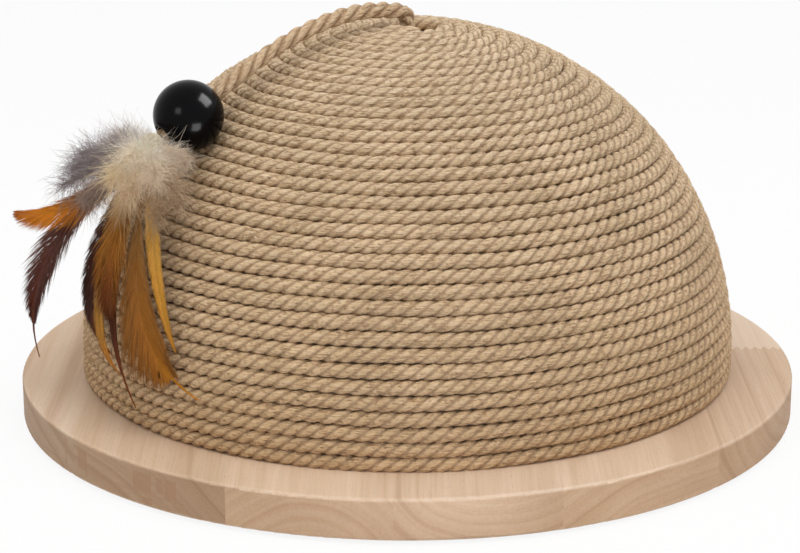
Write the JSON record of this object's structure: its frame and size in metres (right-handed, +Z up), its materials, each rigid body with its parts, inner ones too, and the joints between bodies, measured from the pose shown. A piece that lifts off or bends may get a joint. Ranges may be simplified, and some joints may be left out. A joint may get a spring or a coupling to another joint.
{
  "type": "half cat scratching ball",
  "caption": "Half ball wound with jute rope on a round wooden base, with a cord from its crown that carries a black bead and a tuft of feathers for a cat.",
  "frame": {"origin": "on the floor under the middle of the round base", "axes": "+Z up, -Y towards the front of the picture, +X to its right"},
  "size_m": [0.35, 0.35, 0.1863],
  "materials": {
    "base_wood": "light close-grained hardwood, sanded and left matt",
    "pad_foam": "dense foam, matt",
    "screw_steel": "zinc plated",
    "core_plastic": "moulded, matt",
    "winding_jute": "three-strand jute rope, dry and slightly hairy",
    "staple_steel": "galvanised wire",
    "washer_steel": "zinc plated",
    "cord_jute": "twisted jute cord, dry and slightly hairy",
    "bead_black": "black gloss lacquer",
    "binding_thread": "wound thread",
    "down": "soft down, white to grey",
    "feather_orange": "dyed orange feather with a satin sheen",
    "feather_brown": "dark brown feather with a satin sheen",
    "feather_gold": "dyed gold feather with a satin sheen"
  },
  "bodies": {
    "base": {"base_stave_1": "base_wood", "base_stave_2": "base_wood", "base_stave_3": "base_wood", "base_stave_4": "base_wood", "base_stave_5": "base_wood", "base_stave_6": "base_wood", "base_pads": "pad_foam", "core_screws": "screw_steel", "dome_core": "core_plastic", "rope_winding_lower": "winding_jute", "rope_winding_upper": "winding_jute", "rope_staples": "staple_steel", "knot_washer": "washer_steel"},
    "toy_root": {"toy_cord_knot": "cord_jute"},
    "toy_arm": {"toy_cord": "cord_jute"},
    "bead": {"toy_bead": "bead_black"},
    "tuft": {"tuft_binding": "binding_thread", "down_plumes": "down", "feather_orange_side": "feather_orange", "feather_brown_hanging": "feather_brown", "feather_brown_inner": "feather_brown", "feather_gold_inner": "feather_gold", "feather_dark_long": "feather_brown", "feather_amber_short": "feather_gold", "feather_orange_large": "feather_orange", "feather_gold_slim": "feather_gold"}
  },
  "joints": [
    {"name": "toy_swivel", "type": "hinge", "parent": "base", "child": "toy_root", "pos_m": [0, 0, 0.1799], "axis": [0, 0, 1], "continuous": true},
    {"name": "toy_lift", "type": "hinge", "parent": "toy_root", "child": "toy_arm", "pos_m": [0, 0, 0.1799], "axis": [-0.5592, 0.829, 0], "range_deg": [0, 90]},
    {"name": "bead_spin", "type": "hinge", "parent": "toy_arm", "child": "bead", "pos_m": [-0.09194, -0.06201, 0.14742], "axis": [-0.7155, -0.4826, -0.5052], "continuous": true},
    {"name": "tuft_sway", "type": "hinge", "parent": "toy_arm", "child": "tuft", "pos_m": [-0.10653, -0.07186, 0.13712], "axis": [-0.5592, 0.829, 0], "range_deg": [0, 40]}
  ]
}
